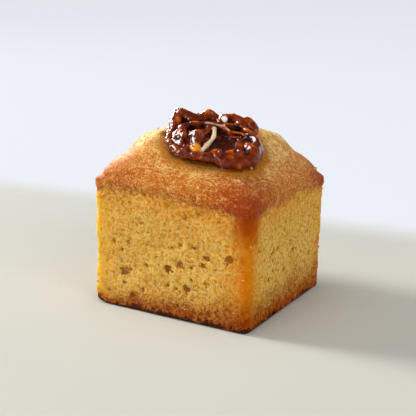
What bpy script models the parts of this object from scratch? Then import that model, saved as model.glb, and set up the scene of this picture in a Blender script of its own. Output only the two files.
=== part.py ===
"""A butter cake baked in a cube-shaped tin, with a glazed walnut half sunk into its domed top.

Metres, +Z up. The cake stands on its flat base, centred on the origin, and its two best sides face
-Y and +X. Each of the two pieces is one closed solid.
"""

import math
import random

import bmesh
import bpy
from mathutils import Euler, Matrix, Vector, noise
from mathutils.bvhtree import BVHTree

MM = 0.001

# The cake: a cube with soft edges, whose top rose out of the tin as a puffed dome
SIDE = 50.8 * MM
RIM_HEIGHTS = {(-1, -1): 38.1 * MM, (1, -1): 35.7 * MM, (1, 1): 36.2 * MM, (-1, 1): 37.5 * MM}
RIM_ARCH_FRONT = 1.8 * MM
RIM_ARCH_BACK = 3.4 * MM
EDGE_ROUND = 2.4 * MM
RIM_ROUND = 1.5 * MM
BASE_ROUND = 1.1 * MM
LIP_OUT = 0.35 * MM
LIP_DEEP = 4.3 * MM
PUFF_RISE = 10.5 * MM
PUFF_SQUARENESS = 8.0
PUFF_FALL = 1.55
PUFF_ROUNDNESS = 0.62
MOUND_RISE = 2.9 * MM
MOUND_SQUARENESS = 2.6
MOUND_FLAT = 0.73
MOUND_REACH = 0.96
MOUND_CENTRE = (-1.4 * MM, 1.3 * MM)
FRONT_SLUMP = 0.40  # how much less the top rose towards the corner at +X, -Y
FRONT_SLUMP_REACH = 0.75
CROWN_LIMIT = 52.4 * MM
LIFTED_CORNER = (-1, -1)
CORNER_LIFT = 0.8 * MM
LIFT_REACH = 5.0 * MM

# The crumb: low waves all over the sides, with burst bubbles
CAKE_CELLS = 26
BASE_RINGS = 3
WAVES = ((9.0 * MM, 0.35 * MM), (3.6 * MM, 0.20 * MM))
CRUST_WAVES = ((11.0 * MM, 0.50 * MM), (4.0 * MM, 0.18 * MM))
SEED = 7
SMALL_PITS_A_SIDE = 14
PIT_MARGIN = 4.5 * MM
SMALL_PIT_RADIUS = (1.0 * MM, 1.7 * MM)
SMALL_PIT_DEPTH = (0.25 * MM, 0.60 * MM)
# The largest bubbles: side (0 faces -Y, 1 faces +X), place along it, height, radius, depth
LARGE_PITS = (
    (0, 0.0 * MM, 14.6 * MM, 1.7 * MM, 1.0 * MM),
    (0, -14.5 * MM, 11.3 * MM, 2.3 * MM, 0.8 * MM),
    (0, 19.5 * MM, 20.5 * MM, 1.9 * MM, 0.8 * MM),
    (0, 6.0 * MM, 10.0 * MM, 2.0 * MM, 0.8 * MM),
    (0, 4.0 * MM, 16.5 * MM, 2.2 * MM, 0.5 * MM),
    (0, 12.0 * MM, 20.0 * MM, 1.4 * MM, 0.7 * MM),
    (0, 8.0 * MM, 22.0 * MM, 1.3 * MM, 0.6 * MM),
    (0, 11.5 * MM, 17.5 * MM, 1.4 * MM, 0.6 * MM),
    (0, -12.0 * MM, 4.5 * MM, 1.5 * MM, 0.7 * MM),
    (1, -7.0 * MM, 20.0 * MM, 1.4 * MM, 0.8 * MM),
    (1, -7.5 * MM, 1.0 * MM, 2.2 * MM, 1.1 * MM),
)

# The walnut half: its frame runs along the nut, across it and up from its middle
NUT_CENTRE = (4.5 * MM, -8.4 * MM, 48.9 * MM)
NUT_TILT = math.radians(20.0)
NUT_ROLL = math.radians(2.0)
NUT_TURN = math.radians(29.0)
NUT_GAP = 0.35 * MM
SEAT_CLEARANCE = 0.75 * MM
SEAT_DIP = 2.2 * MM
SEAT_HALF_LENGTH = 17.0 * MM
SEAT_HALF_WIDTH = 14.5 * MM
NUT_VOXEL = 0.42 * MM
NUT_SMOOTHING = 3
NUT_TRIANGLES = 5200
NUT_WRINKLE = (2.6 * MM, 0.30 * MM)

# Filling shapes, in mm: centre along, across and up, then half sizes
NUT_CORES = (
    ((0.0, -0.5, -0.9), (11.8, 8.4, 2.6)),
    ((-0.5, 5.2, 0.3), (11.0, 4.6, 3.2)),
    ((-8.5, -1.5, 0.8), (3.6, 5.0, 2.6)),
    ((8.6, -3.5, 0.2), (3.6, 4.4, 2.2)),
)
# Rounded ridges, in mm: along, across, up and radius at each point that they pass through
NUT_RIDGES = (
    # the far lobe, a row of knobs
    ((-11.2, 4.5, 2.4, 1.9), (-10.6, 6.4, 3.2, 1.9), (-9.7, 7.6, 3.9, 2.0), (-7.9, 6.9, 3.6, 1.8),
     (-6.0, 6.4, 3.2, 1.8), (-4.0, 7.3, 3.0, 1.75), (-1.9, 8.5, 3.3, 2.0), (-0.4, 8.0, 3.0, 1.9),
     (1.0, 7.4, 2.6, 1.7), (2.7, 7.5, 2.8, 2.0), (4.4, 7.5, 2.9, 2.1), (6.5, 7.2, 2.9, 2.0),
     (8.2, 6.1, 2.6, 2.0), (9.7, 6.7, 3.4, 1.3), (10.7, 5.6, 2.4, 1.9), (11.2, 4.4, 1.6, 1.6)),
    # the far lobe's outer foot
    ((-10.5, 7.0, 0.4, 1.9), (-5.0, 8.8, 0.0, 2.1), (0.5, 9.4, 0.0, 2.0), (6.0, 8.6, 0.0, 2.2),
     (10.2, 6.0, 0.0, 2.0)),
    # the rounded left end
    ((-11.2, 4.5, 2.4, 1.9), (-11.3, 2.6, 1.7, 1.7), (-11.8, 0.4, 1.0, 1.5), (-11.6, -2.3, 0.5, 1.5),
     (-11.0, -4.6, 0.1, 1.5)),
    # a swelling inside it, which the near crest runs into
    ((-8.0, 1.2, 3.8, 0.9), (-8.8, -0.1, 3.5, 1.3), (-8.8, -1.7, 2.9, 1.5), (-8.5, -3.1, 2.2, 1.2),
     (-7.8, -4.8, 1.6, 0.9), (-7.2, -6.6, 0.9, 0.9)),
    # the near lobe's swollen edge, thin on the left and thick on the right
    ((-11.0, -4.6, 0.1, 1.5), (-9.3, -6.5, 0.1, 1.5), (-7.0, -7.3, 0.1, 1.5), (-5.0, -8.2, 0.1, 1.4),
     (-3.1, -8.8, 0.1, 1.4), (-1.1, -9.2, 0.1, 1.4), (0.8, -9.2, 0.0, 1.5), (2.6, -9.7, -0.2, 1.9),
     (4.4, -10.2, -0.4, 2.4), (6.4, -9.9, -0.3, 2.5), (8.6, -9.1, 0.0, 2.4), (10.5, -8.1, 0.2, 2.4),
     (11.6, -6.2, 0.6, 2.0), (11.9, -3.9, 0.9, 1.7)),
    # a knob in the near lobe, and a ridge that climbs from it to the crest
    ((-6.3, -2.5, 2.5, 1.3), (-4.5, -2.5, 3.1, 1.9), (-5.0, -4.5, 2.1, 1.5), (-4.9, -6.5, 1.0, 1.5)),
    ((-4.7, -2.0, 3.0, 1.4), (-3.2, -0.5, 3.0, 1.1), (-1.8, 1.1, 3.3, 0.9), (-1.0, 2.0, 3.6, 0.8)),
    # a thin rib that crosses the near lobe
    ((-0.1, 1.3, 3.2, 0.8), (0.1, -0.5, 2.9, 0.8), (-0.2, -2.4, 2.5, 0.8), (-1.1, -4.1, 2.1, 0.8),
     (-2.2, -5.8, 1.7, 0.8), (-2.9, -7.3, 1.3, 0.8)),
    # the lip and a knob at the right end
    ((3.4, -7.4, 0.6, 0.8), (5.4, -6.4, 0.8, 0.8), (6.6, -4.7, 1.2, 0.8), (7.2, -3.1, 1.6, 0.8),
     (8.3, -2.0, 1.9, 0.8), (9.9, -1.5, 2.1, 0.8), (11.7, -2.2, 2.1, 0.8), (12.6, -3.4, 1.7, 0.8)),
    ((9.8, -5.0, 1.1, 1.8), (10.8, -6.1, 1.0, 1.9)),
    # a bare knob in the far lobe
    ((1.9, 6.1, 3.7, 1.15), (2.9, 5.9, 3.7, 1.05)),
)
# The crests between the lobes, whose walls stand on the core and thicken downwards
NUT_CRESTS = (
    ((-8.4, 1.3, 4.0, 0.85), (-7.0, 2.0, 4.1, 0.8), (-5.3, 2.1, 4.3, 0.8), (-3.0, 2.3, 4.2, 0.8),
     (-0.7, 2.2, 4.1, 0.8), (1.3, 1.9, 3.9, 0.8), (2.8, 1.3, 3.6, 0.8), (4.1, 0.8, 3.1, 0.8)),
    ((3.1, 3.3, 3.6, 0.8), (5.1, 3.1, 3.8, 0.8), (7.4, 2.8, 3.7, 0.8), (9.2, 1.1, 3.4, 0.8),
     (11.0, -0.8, 2.9, 0.8), (12.3, -2.7, 2.2, 0.8), (12.8, -4.5, 1.3, 0.8)),
)
WALL_STEPS = 4
WALL_LEAN = 0.35
WALL_THICKENING = 0.4
WALL_FOOT = -0.4


def smoothstep(value):
    """0 below 0 and 1 above 1, with a soft ramp between."""
    value = min(max(value, 0.0), 1.0)
    return value * value * (3.0 - 2.0 * value)


def superellipse(x, y, power):
    """How far out a point is: 0 in the middle, 1 on a rounded square."""
    return (abs(x) ** power + abs(y) ** power) ** (1.0 / power)


def waves(point, layers):
    """Sum of soft noise layers, each given by its wavelength and its height."""
    return sum(height * noise.noise(point / length) for length, height in layers)


def dome_height(x, y):
    """Height of the risen top over a point of the base."""
    half = SIDE / 2
    across, back = x / half, y / half
    rim = sum(
        height * (1 + sx * across) * (1 + sy * back) / 4 for (sx, sy), height in RIM_HEIGHTS.items()
    )
    backness = (back - across) / 2
    arch = (RIM_ARCH_FRONT + RIM_ARCH_BACK) / 2 + (RIM_ARCH_BACK - RIM_ARCH_FRONT) * backness
    edge = min(superellipse(across, back, PUFF_SQUARENESS), 1.0)
    puff = PUFF_RISE * (1.0 - edge**PUFF_FALL) ** PUFF_ROUNDNESS
    out = superellipse((x - MOUND_CENTRE[0]) / half, (y - MOUND_CENTRE[1]) / half, MOUND_SQUARENESS)
    mound = MOUND_RISE * smoothstep((MOUND_REACH - out) / (MOUND_REACH - MOUND_FLAT))
    slump = FRONT_SLUMP * smoothstep(-backness / FRONT_SLUMP_REACH)
    height = rim + arch * (1.0 - (across * back) ** 2) + (puff + mound) * (1.0 - slump)
    height -= SEAT_DIP * seat_share(x, y)
    return min(height, CROWN_LIMIT)


def seat_share(x, y):
    """1 under the walnut and 0 well away from it, where the batter wasn't pressed down."""
    east, north = x - NUT_CENTRE[0], y - NUT_CENTRE[1]
    along = east * math.cos(NUT_TURN) + north * math.sin(NUT_TURN)
    over = north * math.cos(NUT_TURN) - east * math.sin(NUT_TURN)
    return 1.0 - smoothstep(2.0 * math.hypot(along / SEAT_HALF_LENGTH, over / SEAT_HALF_WIDTH) - 1.0)


def make_pits():
    """The burst bubbles of all four sides, as (place on the skin, radius, depth)."""
    chance = random.Random(SEED)
    half = SIDE / 2
    pits = list(LARGE_PITS)
    for side in range(4):
        for _ in range(SMALL_PITS_A_SIDE):
            along = chance.uniform(-half + PIT_MARGIN, half - PIT_MARGIN)
            up = chance.uniform(PIT_MARGIN, RIM_HEIGHTS[1, -1] - LIP_DEEP)
            radius = chance.uniform(*SMALL_PIT_RADIUS)
            pits.append((side, along, up, radius, chance.uniform(*SMALL_PIT_DEPTH)))
    turns = [Matrix.Rotation(side * math.pi / 2, 3, "Z") for side in range(4)]
    return [
        (turns[side] @ Vector((along, -half, up)), radius, depth)
        for side, along, up, radius, depth in pits
    ]


def round_over(inset, drop, radius):
    """Moves a point near a square edge onto a quarter circle: inset from one face, drop from the other."""
    if max(inset, drop) >= radius:
        return inset, drop
    away = Vector((inset - radius, drop - radius))
    away *= radius / away.length
    return radius + away.x, radius + away.y


def place_in_outline(x, y):
    """Rounds the upright edges. Returns the place, how far inside the outline it is, and the way out."""
    core = SIDE / 2 - EDGE_ROUND
    over = Vector((max(abs(x) - core, 0.0), max(abs(y) - core, 0.0)))
    sign_x, sign_y = math.copysign(1.0, x), math.copysign(1.0, y)
    if over.x > 0 and over.y > 0:
        reach = max(over)
        over *= reach / over.length
        place = Vector((sign_x * (core + over.x), sign_y * (core + over.y)))
        return place, EDGE_ROUND - reach, Vector((sign_x * over.x, sign_y * over.y)) / reach
    if abs(x) >= abs(y):
        return Vector((x, y)), SIDE / 2 - abs(x), Vector((sign_x, 0.0))
    return Vector((x, y)), SIDE / 2 - abs(y), Vector((0.0, sign_y))


def cake_point(cube, pits):
    """Where a point of the two-unit cube lies on the cake's skin."""
    half = SIDE / 2
    place, inset, outward = place_in_outline(cube.x * half, cube.y * half)
    crown = dome_height(place.x, place.y)
    height = (cube.z + 1.0) / 2.0 * crown
    base = cube.z < -0.9999
    top = cube.z > 0.9999

    # Rim and base are rounded, the base less so
    drop = crown - height
    new_inset = inset
    if top or drop < RIM_ROUND:
        new_inset, drop = round_over(inset, drop, RIM_ROUND)
        height = crown - drop
    elif base or height < BASE_ROUND:
        new_inset, height = round_over(inset, height, BASE_ROUND)
    place = place + outward * (inset - new_inset)
    point = Vector((place.x, place.y, height))

    # The sides: a lip under the rim, the open crumb and its bubbles
    if not top and not base:
        lip = LIP_OUT * smoothstep((LIP_DEEP - drop) / (0.5 * MM))
        push = lip + waves(point, WAVES) * smoothstep(height / (2 * MM))
        for centre, radius, depth in pits:
            push -= depth * math.exp(-((point - centre).length / radius) ** 2 * 1.5)
        point += Vector((outward.x, outward.y, 0.0)) * push
    if top:
        point.z += waves(point, CRUST_WAVES) * smoothstep(inset / (3 * MM))

    # One corner curled away from the tin
    corner = Vector((LIFTED_CORNER[0] * half, LIFTED_CORNER[1] * half, 0.0))
    point.z += CORNER_LIFT * smoothstep(1.0 - (point - corner).length / LIFT_REACH)
    return point


def seat_height(x, y, nut_tree):
    """How high the cake may reach under the walnut, or a large number where the walnut isn't overhead."""
    offsets = [Vector((0.0, 0.0, 0.0))]
    for step in range(8):
        angle = step * math.pi / 4
        offsets.append(Vector((math.cos(angle), math.sin(angle), 0.0)) * SEAT_CLEARANCE)
    lowest = 1.0
    for offset in offsets:
        start = Vector((x, y, 0.0)) + offset
        hit = nut_tree.ray_cast(start, Vector((0.0, 0.0, 1.0)))[0]
        if hit is not None:
            lowest = min(lowest, hit.z)
    return lowest - NUT_GAP


def finish_object(name, bm, material):
    """Turns the bmesh into a named object with its material, smooth-shaded."""
    mesh = bpy.data.meshes.new(name)
    bm.normal_update()
    bm.to_mesh(mesh)
    bm.free()
    mesh.polygons.foreach_set("use_smooth", [True] * len(mesh.polygons))
    mesh.materials.append(material)
    item = bpy.data.objects.new(name, mesh)
    bpy.context.scene.collection.objects.link(item)
    return item


def make_cake(nut_tree, material):
    bm = bmesh.new()
    bmesh.ops.create_cube(bm, size=2.0)
    bmesh.ops.subdivide_edges(bm, edges=bm.edges[:], cuts=CAKE_CELLS - 1, use_grid_fill=True)

    # The middle of the base is one flat face
    solid = 1.0 - (BASE_RINGS + 0.5) * 2.0 / CAKE_CELLS
    middle = [
        face
        for face in bm.faces
        if face.calc_center_median().z < -0.9999
        and max(abs(face.calc_center_median().x), abs(face.calc_center_median().y)) < solid
    ]
    bmesh.ops.dissolve_faces(bm, faces=middle, use_verts=True)

    # Finer faces where the walnut is pressed in
    half = SIDE / 2
    near = [
        edge
        for edge in bm.edges
        if all(v.co.z > 0.9999 and seat_share(v.co.x * half, v.co.y * half) > 0.35 for v in edge.verts)
    ]
    bmesh.ops.subdivide_edges(bm, edges=near, cuts=1, use_grid_fill=True)

    pits = make_pits()
    for vertex in bm.verts:
        on_top = vertex.co.z > 0.9999
        vertex.co = cake_point(vertex.co, pits)
        if on_top:
            vertex.co.z = min(vertex.co.z, seat_height(vertex.co.x, vertex.co.y, nut_tree))
    bmesh.ops.triangulate(bm, faces=[face for face in bm.faces if len(face.verts) > 4])
    return finish_object("cake", bm, material)


def spline_point(points, place):
    """A point of the smooth curve through the given points, with its radius as fourth number."""
    last = len(points) - 1
    start = min(int(place), last - 1)
    t = place - start
    a, b, c, d = (Vector(points[min(max(start + i, 0), last)]) for i in (-1, 0, 1, 2))
    linear = (c - a) * t
    square = (2 * a - 5 * b + 4 * c - d) * t**2
    cube = (3 * b - a - 3 * c + d) * t**3
    return b + (linear + square + cube) / 2


def walk(points):
    """Evenly follows the curve, with steps of about a third of its radius."""
    place = 0.0
    while place <= len(points) - 1:
        here = spline_point(points, place)
        ahead = spline_point(points, min(place + 0.02, len(points) - 1))
        yield here
        speed = max((ahead - here).xyz.length / 0.02, 0.5)
        place += 0.36 * here.w / speed
    yield spline_point(points, len(points) - 1)


def add_ball(bm, centre, radii):
    """Adds a closed ball or egg, in mm."""
    size = Matrix.Diagonal((*radii, 1.0))
    bmesh.ops.create_icosphere(
        bm, subdivisions=2, radius=MM, matrix=Matrix.Translation(Vector(centre) * MM) @ size
    )


def keep_largest_part(bm):
    """Deletes every loose scrap and sealed bubble, leaving the one outer skin."""
    seen, parts = set(), []
    for first in bm.verts:
        if first in seen:
            continue
        part, queue = [], [first]
        seen.add(first)
        while queue:
            vertex = queue.pop()
            part.append(vertex)
            for edge in vertex.link_edges:
                other = edge.other_vert(vertex)
                if other not in seen:
                    seen.add(other)
                    queue.append(other)
        parts.append(part)
    parts.sort(key=len)
    for part in parts[:-1]:
        bmesh.ops.delete(bm, geom=part, context="VERTS")


def fused(bm, voxel, smoothing, triangles):
    """Fuses the overlapping closed shapes of a bmesh into one skin, and thins it out."""
    mesh = bpy.data.meshes.new("loose shapes")
    bm.to_mesh(mesh)
    bm.free()
    item = bpy.data.objects.new("loose shapes", mesh)
    bpy.context.scene.collection.objects.link(item)
    remesh = item.modifiers.new("fuse", "REMESH")
    remesh.mode = "VOXEL"
    remesh.voxel_size = voxel
    soften = item.modifiers.new("soften", "SMOOTH")
    soften.iterations = smoothing
    solid = item.evaluated_get(bpy.context.evaluated_depsgraph_get())
    result = bmesh.new()
    result.from_mesh(solid.to_mesh())
    solid.to_mesh_clear()
    keep_largest_part(result)
    result.to_mesh(mesh)
    result.free()

    item.modifiers.clear()
    thin = item.modifiers.new("thin out", "DECIMATE")
    count = sum(len(polygon.vertices) - 2 for polygon in mesh.polygons)
    thin.ratio = min(triangles / count, 1.0)
    thin.use_collapse_triangulate = True
    solid = item.evaluated_get(bpy.context.evaluated_depsgraph_get())
    result = bmesh.new()
    result.from_mesh(solid.to_mesh())
    solid.to_mesh_clear()
    bpy.data.objects.remove(item)
    bpy.data.meshes.remove(mesh)
    return result


def make_walnut(material):
    bm = bmesh.new()
    for centre, sizes in NUT_CORES:
        add_ball(bm, centre, sizes)
    for ridge in NUT_RIDGES:
        for point in walk(ridge):
            add_ball(bm, point.xyz, [point.w] * 3)
    for crest in NUT_CRESTS:
        for point in walk(crest):
            depth = point.z - WALL_FOOT
            for step in range(WALL_STEPS + 1):
                share = step / WALL_STEPS
                centre = point.xyz + Vector((0.0, WALL_LEAN * share * depth, -share * depth))
                add_ball(bm, centre, [point.w + WALL_THICKENING * share * depth] * 3)

    bm = fused(bm, NUT_VOXEL, NUT_SMOOTHING, NUT_TRIANGLES)
    bm.normal_update()
    length, height = NUT_WRINKLE
    for vertex in bm.verts:
        vertex.co += vertex.normal * height * noise.noise(vertex.co / length)
    nut = finish_object("walnut", bm, material)
    nut.location = NUT_CENTRE
    nut.rotation_euler = Euler((NUT_TILT, NUT_ROLL, NUT_TURN))
    return nut


def make_material(name, colour, roughness):
    material = bpy.data.materials.new(name)
    material.use_nodes = True
    shader = material.node_tree.nodes["Principled BSDF"]
    shader.inputs["Base Color"].default_value = (*colour, 1.0)
    shader.inputs["Roughness"].default_value = roughness
    shader.inputs["Metallic"].default_value = 0.0
    material.diffuse_color = (*colour, 1.0)
    return material


def world_tree(item):
    """A ray-casting tree of the object as it lies in the world."""
    bpy.context.view_layer.update()
    places = [item.matrix_world @ vertex.co for vertex in item.data.vertices]
    faces = [tuple(polygon.vertices) for polygon in item.data.polygons]
    return BVHTree.FromPolygons(places, faces)


for old in list(bpy.data.objects):
    bpy.data.objects.remove(old)
walnut = make_walnut(make_material("glazed walnut", (0.20, 0.055, 0.018), 0.18))
make_cake(world_tree(walnut), make_material("butter cake crumb", (0.62, 0.34, 0.08), 0.75))
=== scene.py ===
import math
import random

import bmesh
import bpy
import numpy as np
from mathutils import Euler, Matrix, Vector, noise
from mathutils.bvhtree import BVHTree


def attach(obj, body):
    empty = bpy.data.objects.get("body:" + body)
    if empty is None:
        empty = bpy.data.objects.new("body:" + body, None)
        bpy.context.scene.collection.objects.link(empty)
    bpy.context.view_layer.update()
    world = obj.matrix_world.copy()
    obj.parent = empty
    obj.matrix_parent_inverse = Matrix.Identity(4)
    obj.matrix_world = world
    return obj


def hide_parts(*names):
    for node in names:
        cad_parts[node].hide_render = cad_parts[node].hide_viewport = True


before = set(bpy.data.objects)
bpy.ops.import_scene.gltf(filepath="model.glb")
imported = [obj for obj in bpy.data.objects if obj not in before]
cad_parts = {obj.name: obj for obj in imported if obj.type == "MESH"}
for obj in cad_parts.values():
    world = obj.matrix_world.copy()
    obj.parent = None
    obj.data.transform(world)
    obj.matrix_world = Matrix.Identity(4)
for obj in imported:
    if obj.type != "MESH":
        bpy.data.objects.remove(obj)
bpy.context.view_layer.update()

mm = 0.001
print("frame loaded:", ", ".join(sorted(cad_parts)))


# Small helpers

def ramp(value):  # 0 below 0, 1 above 1, soft between; numbers or arrays
    value = np.clip(value, 0.0, 1.0)
    return value * value * (3.0 - 2.0 * value)


def fromScreen(colour):  # from red, green and blue on a screen, 0 to 255, to what shaders want
    def linear(channel):
        channel /= 255
        return channel / 12.92 if channel <= 0.04045 else ((channel + 0.055) / 1.055) ** 2.4
    return (*map(linear, colour), 1.0)


def softInside(weight, radius, scale):  # shader values for light that spreads below a surface
    return {"Subsurface Weight": weight, "Subsurface Radius": radius, "Subsurface Scale": scale}


def noiseAt(places, length):  # soft noise, -1 to 1, at every place
    return np.array([noise.noise(Vector(p)) for p in places / length])


def layered(places, waves):  # noise of several lengths and heights, added up
    return sum(height * noiseAt(places, length) for length, height in waves)


def fadesBeyond(distance, reach, width):  # 1 close by, 0 beyond the reach, soft over the width before
    return ramp((reach - distance) / width)


def placesOf(mesh):
    places = np.empty(len(mesh.vertices) * 3)
    mesh.vertices.foreach_get("co", places)
    return places.reshape(-1, 3)


def normalsOf(mesh):
    normals = np.empty(len(mesh.vertices) * 3, np.float32)
    mesh.vertex_normals.foreach_get("vector", normals)
    return normals.reshape(-1, 3).astype(float)


def storeMask(mesh, name, values):
    layer = mesh.attributes.new(name, "FLOAT", "POINT")
    layer.data.foreach_set("value", np.asarray(values, np.float32))


def treeOf(mesh):  # for nearest places and rays
    return BVHTree.FromPolygons([v.co for v in mesh.vertices], [tuple(p.vertices) for p in mesh.polygons])


def drawn(chance, chosen, count):  # that many of the points where chosen is true, picked by chance
    indices = [int(index) for index in np.nonzero(chosen)[0]]
    return chance.sample(indices, min(count, len(indices)))


def meshFrom(bm, name):
    mesh = bpy.data.meshes.new(name)
    bm.to_mesh(mesh)
    bm.free()
    return mesh


def showPiece(name, mesh, material, slot, *nodes):
    mesh.materials.clear()
    mesh.materials.append(material)
    mesh.polygons.foreach_set("use_smooth", [True] * len(mesh.polygons))
    piece = bpy.data.objects.new(name, mesh)
    bpy.context.scene.collection.objects.link(piece)
    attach(piece, "root")
    if nodes:
        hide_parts(*nodes)
    print(name, "has", sum(len(p.vertices) - 2 for p in mesh.polygons), "triangles")


# Materials written as expressions

class Wire:  # a socket that can stand in a sum
    def __init__(self, socket):
        self.socket = socket

    def maths(self, operation, first, second, clamp=False):
        node = self.socket.id_data.nodes.new("ShaderNodeMath")
        node.operation = operation
        node.use_clamp = clamp
        plugIn(node.inputs[0], first)
        plugIn(node.inputs[1], second)
        return Wire(node.outputs[0])

    def __add__(self, other):
        return self.maths("ADD", self, other)

    __radd__ = __add__

    def __sub__(self, other):
        return self.maths("SUBTRACT", self, other)

    def __rsub__(self, other):
        return self.maths("SUBTRACT", other, self)

    def __mul__(self, other):
        return self.maths("MULTIPLY", self, other)

    __rmul__ = __mul__

    def limited(self):
        return self.maths("ADD", self, 0.0, clamp=True)


def plugIn(socket, value):
    if isinstance(value, Wire):
        socket.id_data.links.new(value.socket, socket)
    else:
        socket.default_value = value


class Bench:  # makes the nodes of one tree
    def __init__(self, tree):
        self.tree = tree

    def node(self, kind, settings=None, inputs=None, output=0):
        made = self.tree.nodes.new(kind)
        for name, value in (settings or {}).items():
            setattr(made, name, value)
        for name, value in (inputs or {}).items():
            plugIn(made.inputs[name], value)
        return Wire(made.outputs[output])

    def spread(self, value, low, high, newLow=0.0, newHigh=1.0):  # stretches a range and stops at its ends
        return self.node(
            "ShaderNodeMapRange", {"clamp": True, "interpolation_type": "SMOOTHSTEP"},
            {"Value": value, "From Min": low, "From Max": high, "To Min": newLow, "To Max": newHigh},
        )

    def blend(self, share, *colours):  # from the first to the second; each a wire, or a screen's colour
        first, second = (c if isinstance(c, Wire) else fromScreen(c) for c in colours)
        return self.node(
            "ShaderNodeMix", {"data_type": "RGBA", "clamp_factor": True},
            {0: share, 6: first, 7: second}, output=2,
        )

    def along(self, place, way):  # how far a place lies in a direction
        return self.node(
            "ShaderNodeVectorMath", {"operation": "DOT_PRODUCT"}, {0: place, 1: way}, output="Value"
        )


class Finish(Bench):  # one surface: its material, patterns and shader
    def __init__(self, name, shaderValues):
        self.material = bpy.data.materials.new(name)
        self.material.use_nodes = True
        super().__init__(self.material.node_tree)
        self.shader = self.tree.nodes["Principled BSDF"]
        for socketName, value in shaderValues.items():
            self.shader.inputs[socketName].default_value = value
        self.place = self.node("ShaderNodeTexCoord", output="Object")

    def stirred(self, size, amount):  # Object coordinates pushed about, so that patterns turn irregular
        swirl = self.node(
            "ShaderNodeTexNoise", output="Color",
            inputs={"Vector": self.place, "Scale": 1 / size, "Detail": 2.0},
        )
        return self.node(
            "ShaderNodeVectorMath", {"operation": "MULTIPLY_ADD"},
            {0: swirl, 1: (amount,) * 3, 2: self.place},
        )

    def masks(self, names):
        kind = "ShaderNodeAttribute"
        return [self.node(kind, {"attribute_name": name}, output="Fac") for name in names.split()]

    def grain(self, size, detail=2.0, roughness=0.5, distortion=0.0):  # soft noise of about that size
        return self.node(
            "ShaderNodeTexNoise",
            inputs={"Vector": self.place, "Scale": 1 / size, "Detail": detail,
                    "Roughness": roughness, "Distortion": distortion},
        )

    def cellWalls(self, size, place, width=0.30):  # a net of cell walls: 1 on them, 0 inside the cells
        fromWall = self.node(
            "ShaderNodeTexVoronoi", {"feature": "DISTANCE_TO_EDGE"}, {"Vector": place, "Scale": 1 / size}
        )
        return self.spread(fromWall, 0.0, width, 1.0, 0.0)

    def layers(self, tone, look, sharesAndColours):  # each colour laid over those before it
        for share, colour in sharesAndColours:
            tone = self.blend(share, tone, look[colour])
        return tone

    def bump(self, height, strength, distance):
        return self.node(
            "ShaderNodeBump", inputs={"Height": height, "Strength": strength, "Distance": distance}
        )

    def feed(self, **links):
        for name, value in links.items():
            plugIn(self.shader.inputs[name.replace("_", " ")], value)
        return self.material


# The walnut half

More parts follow.
